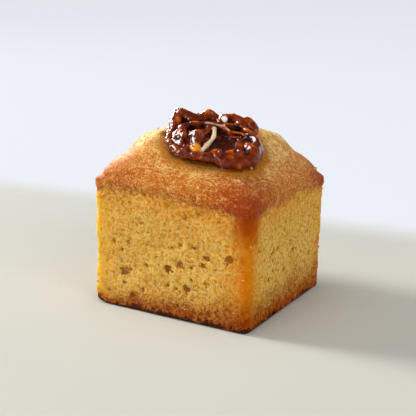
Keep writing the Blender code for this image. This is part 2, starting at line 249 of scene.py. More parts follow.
walnutLook = {
    "centre": (4.5 * mm, -8.4 * mm, 48.9 * mm),
    "turns": (math.radians(20), math.radians(2), math.radians(29)),  # tilt, roll, turn
    "voxel": 0.20 * mm,
    "smoothing": 4,
    "wrinkles": ((2.6 * mm, 0.30 * mm), (1.2 * mm, 0.13 * mm), (0.55 * mm, 0.04 * mm)),  # length, height
    # lumpy syrup, in mm: start and full along the nut, then reach and fade across it
    "syrupyEnd": (-3.5, -8.0),
    "syrupyNear": (1.5, 4.0),
    "syrupLumps": ((1.5 * mm, 0.32 * mm), (0.7 * mm, 0.12 * mm)),
    "syrupStretch": (1.0, 0.45, 0.8),  # the lumps run across the nut
    # filling shapes in mm: centre along, across and up, then half sizes
    "cores": (
        ((0.0, -0.5, -0.9), (11.8, 8.4, 2.6)),
        ((-0.5, 5.2, 0.3), (11.0, 4.6, 3.2)),
        ((-8.5, -1.5, 0.8), (3.6, 5.0, 2.6)),
        ((8.6, -3.5, 0.2), (3.6, 4.4, 2.2)),
    ),
    # rounded ridges in mm: along, across, up and radius at each point that they pass through
    "ridges": (
        # the far lobe, a row of knobs
        ((-11.2, 4.5, 2.4, 1.9), (-10.6, 6.4, 3.2, 1.9), (-9.7, 7.6, 3.9, 2.0), (-7.9, 6.9, 3.6, 1.8),
         (-6.0, 6.4, 3.2, 1.8), (-4.0, 7.3, 3.0, 1.75), (-1.9, 8.5, 3.3, 2.0), (-0.4, 8.0, 3.0, 1.9),
         (1.0, 7.4, 2.6, 1.7), (2.7, 7.5, 2.8, 2.0), (4.4, 7.5, 2.9, 2.1), (6.5, 7.2, 2.9, 2.0),
         (8.2, 6.1, 2.6, 2.0), (9.7, 6.7, 3.4, 1.3), (10.7, 5.6, 2.4, 1.9), (11.2, 4.4, 1.6, 1.6)),
        # the far lobe's outer foot
        ((-10.5, 7.0, 0.4, 1.9), (-5.0, 8.8, 0.0, 2.1), (0.5, 9.4, 0.0, 2.0), (6.0, 8.6, 0.0, 2.2),
         (10.2, 6.0, 0.0, 2.0)),
        # the rounded left end
        ((-11.2, 4.5, 2.4, 1.9), (-11.3, 2.6, 1.7, 1.7), (-11.8, 0.4, 1.0, 1.5), (-11.6, -2.3, 0.5, 1.45),
         (-11.0, -4.6, 0.1, 1.5)),
        # a swelling inside it, which the near crest runs into
        ((-8.0, 1.2, 3.8, 0.9), (-8.8, -0.1, 3.5, 1.3), (-8.8, -1.7, 2.9, 1.5), (-8.5, -3.1, 2.2, 1.2),
         (-7.8, -4.8, 1.6, 0.9), (-7.2, -6.6, 0.9, 0.9)),
        # the near lobe's swollen edge, thin on the left and thick on the right
        ((-11.0, -4.6, 0.1, 1.5), (-9.3, -6.5, 0.1, 1.5), (-7.0, -7.3, 0.1, 1.5), (-5.0, -8.2, 0.1, 1.4),
         (-3.1, -8.8, 0.1, 1.4), (-1.1, -9.2, 0.1, 1.4), (0.8, -9.2, 0.0, 1.5), (2.6, -9.7, -0.2, 1.9),
         (4.4, -10.2, -0.4, 2.3), (6.4, -9.9, -0.3, 2.45), (8.6, -9.1, 0.0, 2.4), (10.5, -8.1, 0.2, 2.4),
         (11.6, -6.2, 0.6, 2.0), (11.9, -3.9, 0.9, 1.7)),
        # a knob in the near lobe, and a ridge that climbs from it to the crest
        ((-6.3, -2.5, 2.5, 1.3), (-4.5, -2.5, 3.1, 1.9), (-5.0, -4.5, 2.1, 1.5), (-4.9, -6.5, 1.0, 1.5)),
        ((-4.7, -2.0, 3.0, 1.4), (-3.2, -0.5, 3.0, 1.1), (-1.8, 1.1, 3.3, 0.8), (-1.0, 2.0, 3.6, 0.6)),
        # folds over the swollen edge
        ((-4.6, -8.8, 0.9, 0.6), (-2.5, -9.3, 1.0, 0.6), (-0.3, -8.8, 1.2, 0.6), (1.0, -9.9, 1.0, 0.6),
         (2.1, -11.0, 0.5, 0.6)),
        ((-0.3, -8.1, 0.9, 0.8), (1.2, -6.9, 1.0, 0.8), (2.2, -8.0, 0.8, 0.8), (2.6, -9.6, 0.6, 0.8)),
        # the lip and a knob at the right end
        ((3.4, -7.4, 0.7, 0.55), (5.4, -6.4, 0.9, 0.55), (6.6, -4.7, 1.3, 0.55), (7.2, -3.1, 1.7, 0.6),
         (8.3, -2.0, 2.0, 0.6), (9.9, -1.5, 2.2, 0.6), (11.7, -2.2, 2.2, 0.7), (12.6, -3.4, 1.8, 0.8)),
        ((9.8, -5.0, 1.1, 1.8), (10.8, -6.1, 1.0, 1.9)),
        # a bare knob in the far lobe
        ((1.9, 6.1, 3.7, 1.15), (2.9, 5.9, 3.7, 1.05)),
        # wrinkles along the far wall of the bowl
        ((4.5, 1.0, 2.9, 0.45), (7.0, 0.5, 2.9, 0.45), (9.3, -0.7, 2.6, 0.45)),
        ((4.8, -0.6, 2.1, 0.45), (7.0, -1.2, 2.2, 0.45), (8.8, -1.9, 2.0, 0.4)),
    ),
    "rib": ((-0.1, 1.3, 3.2, 0.5), (0.1, -0.5, 3.0, 0.6), (-0.2, -2.4, 2.6, 0.68), (-1.1, -4.1, 2.2, 0.60),
            (-2.2, -5.8, 1.8, 0.66), (-2.9, -7.3, 1.4, 0.58)),
    # the crests between the lobes, whose walls stand on the core and thicken downwards
    "crests": (
        ((-8.4, 1.3, 4.0, 0.8), (-7.0, 2.0, 4.2, 0.65), (-5.3, 2.1, 4.4, 0.6), (-3.0, 2.3, 4.3, 0.6),
         (-0.7, 2.2, 4.2, 0.6), (1.3, 1.9, 4.0, 0.6), (2.8, 1.3, 3.7, 0.6), (4.1, 0.8, 3.2, 0.6)),
        ((3.1, 3.3, 3.7, 0.6), (5.1, 3.1, 3.9, 0.6), (7.4, 2.8, 3.8, 0.65), (9.2, 1.1, 3.5, 0.65),
         (11.0, -0.8, 3.0, 0.7), (12.3, -2.7, 2.3, 0.75), (12.8, -4.5, 1.4, 0.8)),
    ),
    # where bare kernel shows, the first spot also holding a painted highlight: along, across, up, reach, and
    # the fade in reaches
    "bareKernelAndHighlightSpot": (2.75, 5.5, 4.5, 0.85, 1.6),
    "goldSpot": (-5.0, -6.9, 1.3, 1.7, 1.5),
    "bareRib": (0.95, 0.35),  # reach and fade round the rib, in mm
    "crestHighlightStretch": (-2.5, 4.4),  # the stretch along the nut where the near crest is pale with a painted highlight
    "crestHighlightReach": (0.75, 0.5),  # reach and fade round it, in mm
    "hollow": ((2.2, -3.4, 1.6), (4.2, 3.6, 2.6), 1.35),  # the bowl, dark with pooled glaze and painted shade: middle, half sizes, fade
    "markStep": 0.6,  # how closely the masks follow the rib and the crest, in radii
    "wallSteps": 6,
    "wallLean": 0.35,
    "wallThickening": 0.4,
    "wallFoot": -0.4,
    "ridgeRounds": 30,  # rounds of smoothing that tell ridges from folds
    "ridgeFull": 0.35 * mm,  # a ridge this high counts as 1
    "shader": {
        "Coat Weight": 0.30, "Coat Roughness": 0.06, "Coat IOR": 1.42, "Specular IOR Level": 0.30,
        **softInside(0.3, (1.0, 0.42, 0.10), 1.4 * mm),
    },
    "patches": (2.6 * mm, 3.0, 0.55),  # size, detail and roughness of the light and dark patches
    "patchMiddle": 0.49,
    "patchiness": 3.4,
    "streaks": (0.8 * mm, 3.0, 0.65, 0.8),  # the same and distortion, of the finer streaks
    "streakiness": 0.8,
    "roughness": (0.10, 0.26),
    "ripples": (1.0 * mm, 2.0, 0.5),
    "rippleBump": (0.4, 0.20 * mm),  # strength and height
    "dark": (40, 12, 3),
    "brown": (124, 40, 2),
    "amber": (236, 126, 14),
    "kernelGold": (232, 146, 32),
    "kernelBeige": (232, 204, 170),
    "kernelWhiteAndHighlight": (255, 253, 244),
}


def curvePoint(points, place):  # on the smooth curve through the points; the fourth number is the radius
    last = len(points) - 1
    start = min(int(place), last - 1)
    t = place - start
    a, b, c, d = (Vector(points[min(max(start + i, 0), last)]) for i in (-1, 0, 1, 2))
    return b + ((c - a) * t + (2 * a - 5 * b + 4 * c - d) * t**2 + (3 * b - a - 3 * c + d) * t**3) / 2


def walkCurve(points, stepShare=0.3, nudge=0.02, slowest=0.5):  # its places, a share of a radius apart
    place = 0.0
    last = len(points) - 1
    while place <= last:
        here = curvePoint(points, place)
        ahead = curvePoint(points, min(place + nudge, last))
        yield here
        place += stepShare * here.w / max((ahead - here).xyz.length / nudge, slowest)
    yield curvePoint(points, last)


def addBalls(whole, balls, subdivisions=3, batch=20):  # balls as (centre, radii), in mm
    for start in range(0, len(balls), batch):  # few at a time, because each operator visits the whole mesh
        bm = bmesh.new()
        for centre, radii in balls[start:start + batch]:
            size = Matrix.Diagonal((*radii, 1.0))
            place = Matrix.Translation(Vector(centre) * mm)
            bmesh.ops.create_icosphere(bm, subdivisions=subdivisions, radius=mm, matrix=place @ size)
        mesh = meshFrom(bm, "balls")
        whole.from_mesh(mesh)
        bpy.data.meshes.remove(mesh)


def keepOuterSkin(bm):  # deletes loose scraps and sealed bubbles
    seen, parts = set(), []
    for first in bm.verts:
        if first in seen:
            continue
        part, queue = [], [first]
        seen.add(first)
        while queue:
            vertex = queue.pop()
            part.append(vertex)
            for edge in vertex.link_edges:
                other = edge.other_vert(vertex)
                if other not in seen:
                    seen.add(other)
                    queue.append(other)
        parts.append(part)
    parts.sort(key=len)
    for part in parts[:-1]:
        bmesh.ops.delete(bm, geom=part, context="VERTS")


def fuse(bm, voxel, smoothing, keepScraps=False):  # makes one skin of overlapping closed shapes
    loose = bpy.data.objects.new("loose shapes", meshFrom(bm, "loose shapes"))
    bpy.context.scene.collection.objects.link(loose)
    remesh = loose.modifiers.new("fuse", "REMESH")
    remesh.mode = "VOXEL"
    remesh.voxel_size = voxel
    soften = loose.modifiers.new("soften", "SMOOTH")
    soften.iterations = smoothing
    solid = loose.evaluated_get(bpy.context.evaluated_depsgraph_get())
    skin = bmesh.new()
    skin.from_mesh(solid.to_mesh())
    solid.to_mesh_clear()
    bpy.data.objects.remove(loose)
    if not keepScraps:
        keepOuterSkin(skin)
    return skin


def bulgeOf(mesh, rounds, softness=0.7):  # above 0 on ridges, below 0 in folds, in metres
    bm = bmesh.new()
    bm.from_mesh(mesh)
    for _ in range(rounds):
        bmesh.ops.smooth_vert(
            bm, verts=bm.verts[:], factor=softness, use_axis_x=True, use_axis_y=True, use_axis_z=True
        )
    softened = np.array([v.co for v in bm.verts])
    bm.free()
    return ((placesOf(mesh) - softened) * normalsOf(mesh)).sum(1)


def wallUnder(point, look):  # balls that stand one point of a crest on the core
    depth = point.z - look["wallFoot"]
    wall = []
    for step in range(look["wallSteps"] + 1):
        share = step / look["wallSteps"]
        centre = point.xyz + Vector((0.0, look["wallLean"] * share * depth, -share * depth))
        wall.append((centre, [point.w + look["wallThickening"] * share * depth] * 3))
    return wall


def nutPlace(look):  # from the walnut's own axes to its place on the cake
    return Matrix.Translation(look["centre"]) @ Euler(look["turns"]).to_matrix().to_4x4()


def awayFrom(points, flat):  # each place's distance to the nearest of the points
    return np.linalg.norm(flat[:, None, :] - points[None, :, :], axis=2).min(1)


def spotMask(spot, flat):
    *middle, reach, fade = spot
    return ramp(fade - np.linalg.norm(flat - middle, axis=1) / reach)


def markWalnut(mesh, flat, look):  # where the kernel is bare, where the crest has a painted highlight, and where the bowl is dark with pooled glaze and painted shade
    rib = np.array([point.xyz for point in walkCurve(look["rib"], look["markStep"])])
    bare = fadesBeyond(awayFrom(rib, flat), *look["bareRib"])
    storeMask(mesh, "bare", bare)
    # a white kernel spot that is partly a painted highlight
    storeMask(mesh, "white", spotMask(look["bareKernelAndHighlightSpot"], flat))
    storeMask(mesh, "gold", spotMask(look["goldSpot"], flat))
    crest = walkCurve(look["crests"][0], look["markStep"])
    tops = np.array([point.xyz + Vector((0, 0, point.w)) for point in crest])
    start, end = look["crestHighlightStretch"]
    tops = tops[(tops[:, 0] > start) & (tops[:, 0] < end)]
    # the crest mask places a painted highlight along the crest top
    storeMask(mesh, "crest", fadesBeyond(awayFrom(tops, flat), *look["crestHighlightReach"]))
    middle, sizes, fade = look["hollow"]
    storeMask(mesh, "bowl", ramp(fade - np.linalg.norm((flat - middle) / sizes, axis=1)) * (1 - bare))


def makeWalnut(look):
    bm = bmesh.new()
    addBalls(bm, look["cores"], subdivisions=4)
    for ridge in (*look["ridges"], look["rib"]):
        addBalls(bm, [(point.xyz, [point.w] * 3) for point in walkCurve(ridge)])
    for crest in look["crests"]:
        for point in walkCurve(crest):
            addBalls(bm, wallUnder(point, look))
    mesh = meshFrom(fuse(bm, look["voxel"], look["smoothing"]), "walnut")
    places = placesOf(mesh)
    flat = places / mm  # the walnut still lies flat in its own millimetres
    markWalnut(mesh, flat, look)

    lift = layered(places, look["wrinkles"])
    start, full = look["syrupyEnd"]
    syrupy = ramp((flat[:, 0] - start) / (full - start)) * fadesBeyond(flat[:, 1], *look["syrupyNear"])
    lift += syrupy * layered(places * look["syrupStretch"], look["syrupLumps"])
    mesh.vertices.foreach_set("co", (places + normalsOf(mesh) * lift[:, None]).ravel())
    mesh.update()
    # the ridge mask drives painted shade in folds and a painted glow on ridges in the finish
    storeMask(mesh, "ridge", bulgeOf(mesh, look["ridgeRounds"]) / look["ridgeFull"])
    mesh.transform(nutPlace(look))
    return mesh


def walnutFinish(look):
    finish = Finish("glazed walnut", look["shader"])
    spread = finish.spread
    ridge, bare, white, gold, crest, bowl = finish.masks("ridge bare white gold crest bowl")
    patches, streaks = finish.grain(*look["patches"]), finish.grain(*look["streaks"])
    # dark to brown to amber: painted shade in folds and a painted glow of light through the glaze on ridges,
    # over light and dark patches of the glaze
    patchesGlowAndShade = ridge + (patches - look["patchMiddle"]) * look["patchiness"]
    patchesGlowAndShade = patchesGlowAndShade + (streaks - 0.5) * look["streakiness"]
    tone = finish.layers(finish.blend(spread(patchesGlowAndShade, -0.6, 0.5), look["dark"], look["brown"]), look, (
        (spread(patchesGlowAndShade, 0.4, 1.5) * 0.85, "amber"),
        # the bowl darkened: pooled glaze, and painted shade in the recess
        (bowl * 0.85, "dark"),
        # kernel that shows through the glaze; the pale along the crest is a painted highlight, and the white
        # spot is partly one
        (crest * spread(streaks, 0.3, 0.6) * 0.7, "kernelBeige"),
        (spread(gold + (streaks - 0.5) * 0.6, 0.3, 0.9), "kernelGold"),
        (spread(bare + (streaks - 0.5) * 1.6, 0.3, 0.9), "kernelBeige"),
        # the white spot: bare kernel, partly a painted highlight
        (spread(white + (streaks - 0.5) * 1.4, 0.3, 0.8), "kernelWhiteAndHighlight"),
    ))
    return finish.feed(
        Base_Color=tone,
        Roughness=spread(streaks, 0.35, 0.65, *look["roughness"]),
        Normal=finish.bump(finish.grain(*look["ripples"]), *look["rippleBump"]),
    )


walnutMesh = makeWalnut(walnutLook)
showPiece("glazed_walnut_half", walnutMesh, walnutFinish(walnutLook), "glazed_nut", "walnut")


# The cake

cakeLook = {
    "side": 50.8 * mm,
    "rimHeights": {(-1, -1): 38.1 * mm, (1, -1): 35.7 * mm, (1, 1): 36.2 * mm, (-1, 1): 37.5 * mm},
    "rimArch": (1.8 * mm, 3.4 * mm),  # near the camera, and at the back
    "edgeRound": 2.4 * mm,
    "rimRound": 1.5 * mm,
    "baseRound": 1.1 * mm,
    "lipOut": 0.35 * mm,
    "lipDeep": 4.3 * mm,
    "lipFade": 1.6 * mm,
    "puff": (10.5 * mm, 8.0, 1.55, 0.62),  # rise, squareness, fall, roundness
    "mound": (2.9 * mm, 2.6, 0.73, 0.96),  # rise, squareness, flat part, reach
    "moundCentre": (-1.4 * mm, 1.3 * mm),
    "frontSlump": (0.40, 0.75),  # how much less the front corner rises, and how far that reaches
    "crownLimit": 52.4 * mm,
    "liftedCorner": (-1, -1),
    "cornerLift": (0.8 * mm, 5.0 * mm),  # height and reach
    "dip": (2.2 * mm, 17.0 * mm, 14.5 * mm),  # round the walnut: depth, half length, half width
    "seatReach": 12.0 * mm,  # so far from the walnut it presses the crust down
    "seatSunk": 0.25 * mm,  # and lies so deep in it
    "cells": 136,
    "baseRings": 4,  # rings of cells round the flat middle of the base
    "faceAt": 0.9999,  # the starting cube's top and base lie beyond this
    # unevenness: lengths and heights, and the distance in which it grows to full
    "waves": ((9.0 * mm, 0.35 * mm), (3.6 * mm, 0.20 * mm)),
    "wavesFrom": 2.0 * mm,
    "edgeWaves": ((2.8 * mm, 0.30 * mm), (1.4 * mm, 0.16 * mm)),
    "edgeWavesReach": 4.0 * mm,
    "crustWaves": ((11.0 * mm, 0.50 * mm), (4.0 * mm, 0.18 * mm)),
    "crustWavesFrom": 3.0 * mm,
    "crumbGrain": ((1.5 * mm, 0.10 * mm), (0.75 * mm, 0.06 * mm)),
    "crustGrain": ((1.6 * mm, 0.09 * mm), (0.8 * mm, 0.075 * mm)),
    "raggedWaves": ((6.0 * mm, 0.6), (2.2 * mm, 0.4)),  # of the borders between tones
    "swirl": (1.1 * mm, 0.7 * mm),  # makes bubbles irregular, and pores by a share of it
    "poreSwirl": 0.5,
    # pores: cell, radius in cells, depth, share of cells; then their start from the rim and the base
    "poreSizes": ((2.7 * mm, 0.34, 0.55 * mm, 0.35), (1.4 * mm, 0.42, 0.34 * mm, 0.8)),
    "openCrumb": ((1.5 * mm, 3.0 * mm), (0.5 * mm, 2.5 * mm)),  # each with its fade
    "seed": 7,
    "pitsEachSide": 10,
    "pitMargin": 4.5 * mm,
    "pitRadius": (1.0 * mm, 1.7 * mm),
    "pitDepth": (0.25 * mm, 0.60 * mm),
    "pitSquash": (1.0, 1.0, 1.25),  # they are wider than high
    "pitWall": (0.95, 0.6),  # reach and fade, in radii
    "hollowFull": 0.6 * mm,  # a hollow this deep gets its full painted shade
    # burst bubbles: side (0 faces -Y, 1 faces +X), then in mm place along it, height, radius, depth
    "largePits": (
        (0, 0.0, 14.6, 1.7, 1.0),
        (0, -14.5, 11.3, 2.3, 0.8),
        (0, 19.5, 20.5, 1.9, 0.8),
        (0, 6.0, 10.0, 2.0, 0.8),
        (0, 4.0, 16.5, 2.2, 0.5),
        (0, 12.0, 20.0, 1.4, 0.7),
        (0, 8.0, 22.0, 1.3, 0.6),
        (0, 11.5, 17.5, 1.4, 0.6),
        (0, -12.0, 4.5, 1.5, 0.7),
        (1, -7.0, 20.0, 1.4, 0.8),
        (1, -7.5, 1.0, 2.2, 1.1),
    ),
    # browning: its strength at each upright edge, and its share along edges and borders
    "edgeBrown": {(-1, -1): 0.85, (1, -1): 1.0, (1, 1): 0.45, (-1, 1): 0.7},
    "edgeShare": 0.75,
    "borderShare": (0.20, 0.30),  # everywhere, and more where the edge is strong
    "borderDrop": 3.0 * mm,
    "baseBand": (10.0 * mm, 4.0 * mm),  # height in the middle, and how much more at the right
    "shoulderSquareness": 3.0,
    "leftPaler": 0.35,
    "frontBrown": 0.72,
    "stainAndShadePlace": (-9.6 * mm, -11.8 * mm),  # syrup on the crust beside the walnut, with painted shade in the crevice there
    # tones that fade with distance: start in reaches, reach, raggedness
    "fades": {
        "edge": (1.0, 6.0 * mm, 0.20), "border": (1.0, 13.0 * mm, 0.15),
        "frontEdge": (1.15, 8.0 * mm, 0.20), "frontDrop": (1.3, 13.0 * mm, 0.20),
        "leftEdge": (1.1, 7.0 * mm, 0.25), "leftCorner": (1.3, 14.0 * mm, 0.0),
        "frontCorner": (1.2, 24.0 * mm, 0.20), "warm": (1.3, 8.5 * mm, 0.30),
        "skin": (1.2, 6.2 * mm, 0.30), "foot": (1.0, 3.2 * mm, 0.60),
        "stainAndShade": (1.5, 1.7 * mm, 0.50), "nut": (1.0, 5.0 * mm, 0.0),
        "base": (1.0, 1.0, 0.22),  # in heights of its band
    },
    # tones that grow outwards, in half sides: start, width, raggedness
    "grows": {"shoulder": (0.42, 0.62, 0.18), "corner": (0.92, 0.45, 0.12)},
    "shader": {"Specular IOR Level": 0.08, **softInside(0.6, (1.0, 0.50, 0.12), 2.2 * mm)},
    # noise in the tones: size, detail, roughness
    "cloudy": (6.0 * mm, 2.0, 0.5),
    "coarse": (2.2 * mm, 3.0, 0.6),
    "fluffy": (1.5 * mm, 5.0, 0.78),
    "dimpled": (1.25 * mm, 2.0, 0.5),
    "grainy": (0.75 * mm, 4.0, 0.8),
    "fine": (0.40 * mm, 2.0, 0.7),
    "sparks": (0.34 * mm, 1.0, 0.5),
    "foamCells": (1.8 * mm, 1.4 * mm, 1.3 * mm),  # size, and the size and strength of their stirring
    # a tone's strength on the crumb, and how much the foam and the coarse noise break it up
    "warmMottle": (0.30, 0.5, 0.8),
    "edgeMottle": (1.0, 0.5, 0.8),
    "glowMottle": (0.75, 0.0, 1.8),
    "baseMottle": (1.15, 0.5, 1.0),
    "roughness": (0.95, 0.22),  # dull crumb, and glinting specks of the crust
    "glintMetallic": 0.12,
    "reliefHeight": 0.8 * mm,
    "crumbPale": (254, 210, 106),
    "crumbGold": (220, 150, 26),
    "crumbDimpleShade": (180, 100, 2),
    "crumbOlive": (228, 170, 34),
    "crumbSpeckHighlight": (255, 228, 192),
    "pitShade": (174, 92, 0),
    "warmOchre": (214, 136, 14),
    "glowGold": (255, 208, 74),
    "edgeOrange": (236, 140, 10),
    "edgeDeep": (190, 82, 0),
    "baseBrown": (160, 68, 0),
    "footDark": (74, 24, 6),
    "crustGold": (216, 144, 12),
    "crustBrown": (202, 112, 8),
    "crustDark": (162, 52, 0),
    "crustHighlightFleck": (255, 228, 178),
    "crustPoreShade": (160, 76, 0),
    "moundPale": (255, 222, 140),
    "syrupTintAndShade": (186, 108, 4),
    "syrupStainAndCreviceShade": (96, 38, 8),
}


def dipShare(x, y, look):  # 1 under the walnut, 0 away from it
    turn = walnutLook["turns"][2]
    east, north = x - walnutLook["centre"][0], y - walnutLook["centre"][1]
    along = east * math.cos(turn) + north * math.sin(turn)
    over = north * math.cos(turn) - east * math.sin(turn)
    _, halfLength, halfWidth = look["dip"]
    return 1.0 - ramp(2.0 * np.hypot(along / halfLength, over / halfWidth) - 1.0)


def squareDistance(x, y, power):  # 0 in the middle, 1 on a rounded square
    return (np.abs(x) ** power + np.abs(y) ** power) ** (1.0 / power)


def byCorner(values, across, back):  # blends the four corners' values
    return sum(v * (1 + sx * across) * (1 + sy * back) / 4 for (sx, sy), v in values.items())


def domeHeight(x, y, look):
    half = look["side"] / 2
    across, back = x / half, y / half
    rim = byCorner(look["rimHeights"], across, back)
    backness = (back - across) / 2
    archNear, archFar = look["rimArch"]
    arch = (archNear + archFar) / 2 + (archFar - archNear) * backness
    rise, squareness, fall, roundness = look["puff"]
    edge = np.minimum(squareDistance(across, back, squareness), 1.0)
    puff = rise * (1.0 - edge**fall) ** roundness
    rise, squareness, flat, reach = look["mound"]
    centreX, centreY = look["moundCentre"]
    out = squareDistance((x - centreX) / half, (y - centreY) / half, squareness)
    mound = rise * ramp((reach - out) / (reach - flat))
    slump, slumpReach = look["frontSlump"]
    slumped = 1.0 - slump * ramp(-backness / slumpReach)
    height = rim + arch * (1.0 - (across * back) ** 2) + (puff + mound) * slumped
    height = height - look["dip"][0] * dipShare(x, y, look)
    return np.minimum(height, look["crownLimit"])


def roundOver(inset, drop, radius):  # from a square edge to a quarter circle
    awayIn, awayDown = inset - radius, drop - radius
    length = np.maximum(np.hypot(awayIn, awayDown), 1e-9)
    near = np.maximum(inset, drop) < radius
    return (
        np.where(near, radius + awayIn * radius / length, inset),
        np.where(near, radius + awayDown * radius / length, drop),
    )


def outlinePlace(x, y, look):  # rounds the upright edges; gives place, inset and the way out
    half = look["side"] / 2
    core = half - look["edgeRound"]
    overX, overY = np.maximum(np.abs(x) - core, 0.0), np.maximum(np.abs(y) - core, 0.0)
    signX, signY = np.where(x < 0, -1.0, 1.0), np.where(y < 0, -1.0, 1.0)
    corner = (overX > 0) & (overY > 0)
    reach = np.where(corner, np.maximum(overX, overY), 1.0)
    shrink = np.where(corner, reach / np.maximum(np.hypot(overX, overY), 1e-9), 1.0)
    overX, overY = overX * shrink, overY * shrink
    sideways = np.abs(x) >= np.abs(y)
    outX = np.where(corner, signX * overX / reach, np.where(sideways, signX, 0.0))
    outY = np.where(corner, signY * overY / reach, np.where(sideways, 0.0, signY))
    newX = np.where(corner, signX * (core + overX), x)
    newY = np.where(corner, signY * (core + overY), y)
    inset = np.where(corner, look["edgeRound"] - reach, half - np.maximum(np.abs(x), np.abs(y)))
    return newX, newY, inset, outX, outY


def burstBubbles(look):  # as (place on the skin, radius, depth)
    chance = random.Random(look["seed"])
    half = look["side"] / 2
    pits = [(side, *(size * mm for size in sizes)) for side, *sizes in look["largePits"]]
    for side in range(4):
        for _ in range(look["pitsEachSide"]):
            along = chance.uniform(-half + look["pitMargin"], half - look["pitMargin"])
            up = chance.uniform(look["pitMargin"], look["rimHeights"][1, -1] - look["lipDeep"])
            radius = chance.uniform(*look["pitRadius"])
            pits.append((side, along, up, radius, chance.uniform(*look["pitDepth"])))
    turns = [Matrix.Rotation(side * math.pi / 2, 3, "Z") for side in range(4)]
    return [
        (turns[side] @ Vector((along, -half, up)), radius, depth) for side, along, up, radius, depth in pits
    ]


def poresAt(places, cell, radius, depth, share):  # irregular small holes, as depth at every place
    forPresence, forSize = 37.0, 71.0  # make two chances of each cell's centre
    smallest, more = 0.55, 0.45
    depths = np.zeros(len(places))
    for index, place in enumerate(places / cell):
        distances, centres = noise.voronoi(Vector(place))
        if noise.cell(centres[0] * forPresence) > share:
            continue
        size = radius * (smallest + more * noise.cell(centres[0] * forSize))
        depths[index] = max(0.0, 1.0 - (distances[0] / size) ** 2)
    return depth * np.sqrt(depths)


def hollowsAt(places, warp, openCrumb, look):  # burst bubbles and pores, as depth at every place
    hollow = np.zeros(len(places))
    for centre, radius, depth in burstBubbles(look):
        away = np.linalg.norm((places + warp - np.array(centre)) * look["pitSquash"], axis=1) / radius
        hollow = np.maximum(hollow, depth * fadesBeyond(away, *look["pitWall"]))
    for cell, radius, depth, share in look["poreSizes"]:
        pores = poresAt(places + warp * look["poreSwirl"], cell, radius, depth, share)
        hollow = np.maximum(hollow, openCrumb * pores)
    return hollow


def pressWalnut(places, onTop, nutMesh, look):  # lowers the crust under it; gives the distances to it
    tree = treeOf(nutMesh)
    nutAway = np.full(len(places), 1.0)
    for index in np.nonzero(onTop)[0]:
        place = Vector(places[index])
        nutAway[index] = tree.find_nearest(place)[3]
        if nutAway[index] < look["seatReach"]:
            hit = tree.ray_cast(Vector((place.x, place.y, 0.0)), Vector((0.0, 0.0, 1.0)))[0]
            if hit is not None:
                places[index, 2] = min(place.z, hit.z + look["seatSunk"])
    return nutAway


def cakeMasks(places, x, y, height, drop, onTop, onBase, nutAway, look):  # the share of each tone
    half = look["side"] / 2
    onSide = ~onTop & ~onBase
    ragged = layered(places, look["raggedWaves"])

    def near(distance, name):
        start, reach, raggedness = look["fades"][name]
        return ramp(start - distance / reach + ragged * raggedness)

    def outwards(distance, name):
        start, width, raggedness = look["grows"][name]
        return ramp((distance - start) / width + ragged * raggedness)

    fromEdge = half - np.minimum(np.abs(x), np.abs(y))
    fromFrontEdge, fromLeftEdge = np.hypot(x - half, y + half), np.hypot(x + half, y + half)
    strength = byCorner(look["edgeBrown"], x / half, y / half)
    everywhere, more = look["borderShare"]
    border = near(np.minimum(fromEdge, drop - look["borderDrop"]), "border") * (everywhere + more * strength)
    edge = strength * near(fromEdge, "edge") * look["edgeShare"] + border
    bandHeight, bandRise = look["baseBand"]
    base = near(height / (bandHeight + bandRise * x / half), "base")
    corner = outwards(np.hypot(x, y) / half, "corner")
    corner = corner * (1.0 - look["leftPaler"] * near(fromLeftEdge, "leftCorner"))
    stainX, stainY = look["stainAndShadePlace"]
    stainAndShade = near(np.hypot(x - stainX, y - stainY), "stainAndShade")
    return {
        "edge": np.where(onTop, 0.0, edge),
        "deep": np.where(onTop, 0.0, near(fromFrontEdge, "frontEdge") * near(drop, "frontDrop")),
        # a painted glow of light through the left edge
        "glow": np.where(onSide, near(fromLeftEdge, "leftEdge"), 0.0),
        "warm": np.where(onSide, near(drop, "warm"), 0.0),
        "base": np.where(onBase, 1.0, np.where(onTop, 0.0, base)),
        "foot": np.where(onBase, 1.0, near(height, "foot")),
        "skin": np.where(onTop, 1.0, np.where(onBase, 0.0, near(drop, "skin"))),
        "shoulder": outwards(squareDistance(x / half, y / half, look["shoulderSquareness"]), "shoulder"),
        "corner": np.maximum(corner, look["frontBrown"] * near(fromFrontEdge, "frontCorner")),
        # the nut mask carries syrup tint and painted shade round the walnut
        "nut": np.where(onTop, np.maximum(near(nutAway, "nut"), stainAndShade), 0.0),
    }


